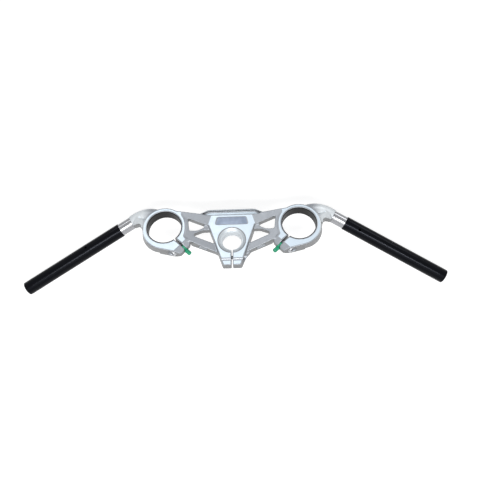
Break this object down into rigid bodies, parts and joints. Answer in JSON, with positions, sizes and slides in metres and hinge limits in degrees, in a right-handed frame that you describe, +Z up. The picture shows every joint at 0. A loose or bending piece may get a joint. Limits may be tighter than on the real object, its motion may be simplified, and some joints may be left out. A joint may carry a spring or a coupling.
{
  "type": "motorcycle handlebar",
  "caption": "Motorcycle top yoke with one-piece handlebar arms: clamps both fork tubes and the steering stem, and carries swept-back bars for grips and controls.",
  "frame": {"origin": "steering stem's axis at the yoke's underside", "axes": "+X to the rider's right, +Y forward, +Z up along the stem"},
  "size_m": [0.682, 0.1174, 0.085],
  "materials": {
    "yoke_alloy": "satin silver lacquer on a forging",
    "spigot_alloy": "turned bright",
    "bar_black": "satin black",
    "liner_black": "gloss",
    "plate_blue": "satin anodised",
    "plug_green": "gloss",
    "bolt_steel": "zinc plated"
  },
  "bodies": {
    "root": {"yoke": "yoke_alloy", "left_fork_liner": "liner_black", "right_fork_liner": "liner_black", "name_plate": "plate_blue", "left_bar_spigot": "spigot_alloy", "right_bar_spigot": "spigot_alloy", "left_bar": "bar_black", "right_bar": "bar_black", "left_slit_plug": "plug_green", "right_slit_plug": "plug_green", "left_fork_pinch_bolt": "bolt_steel", "right_fork_pinch_bolt": "bolt_steel", "stem_pinch_bolt": "bolt_steel"}
  },
  "joints": []
}
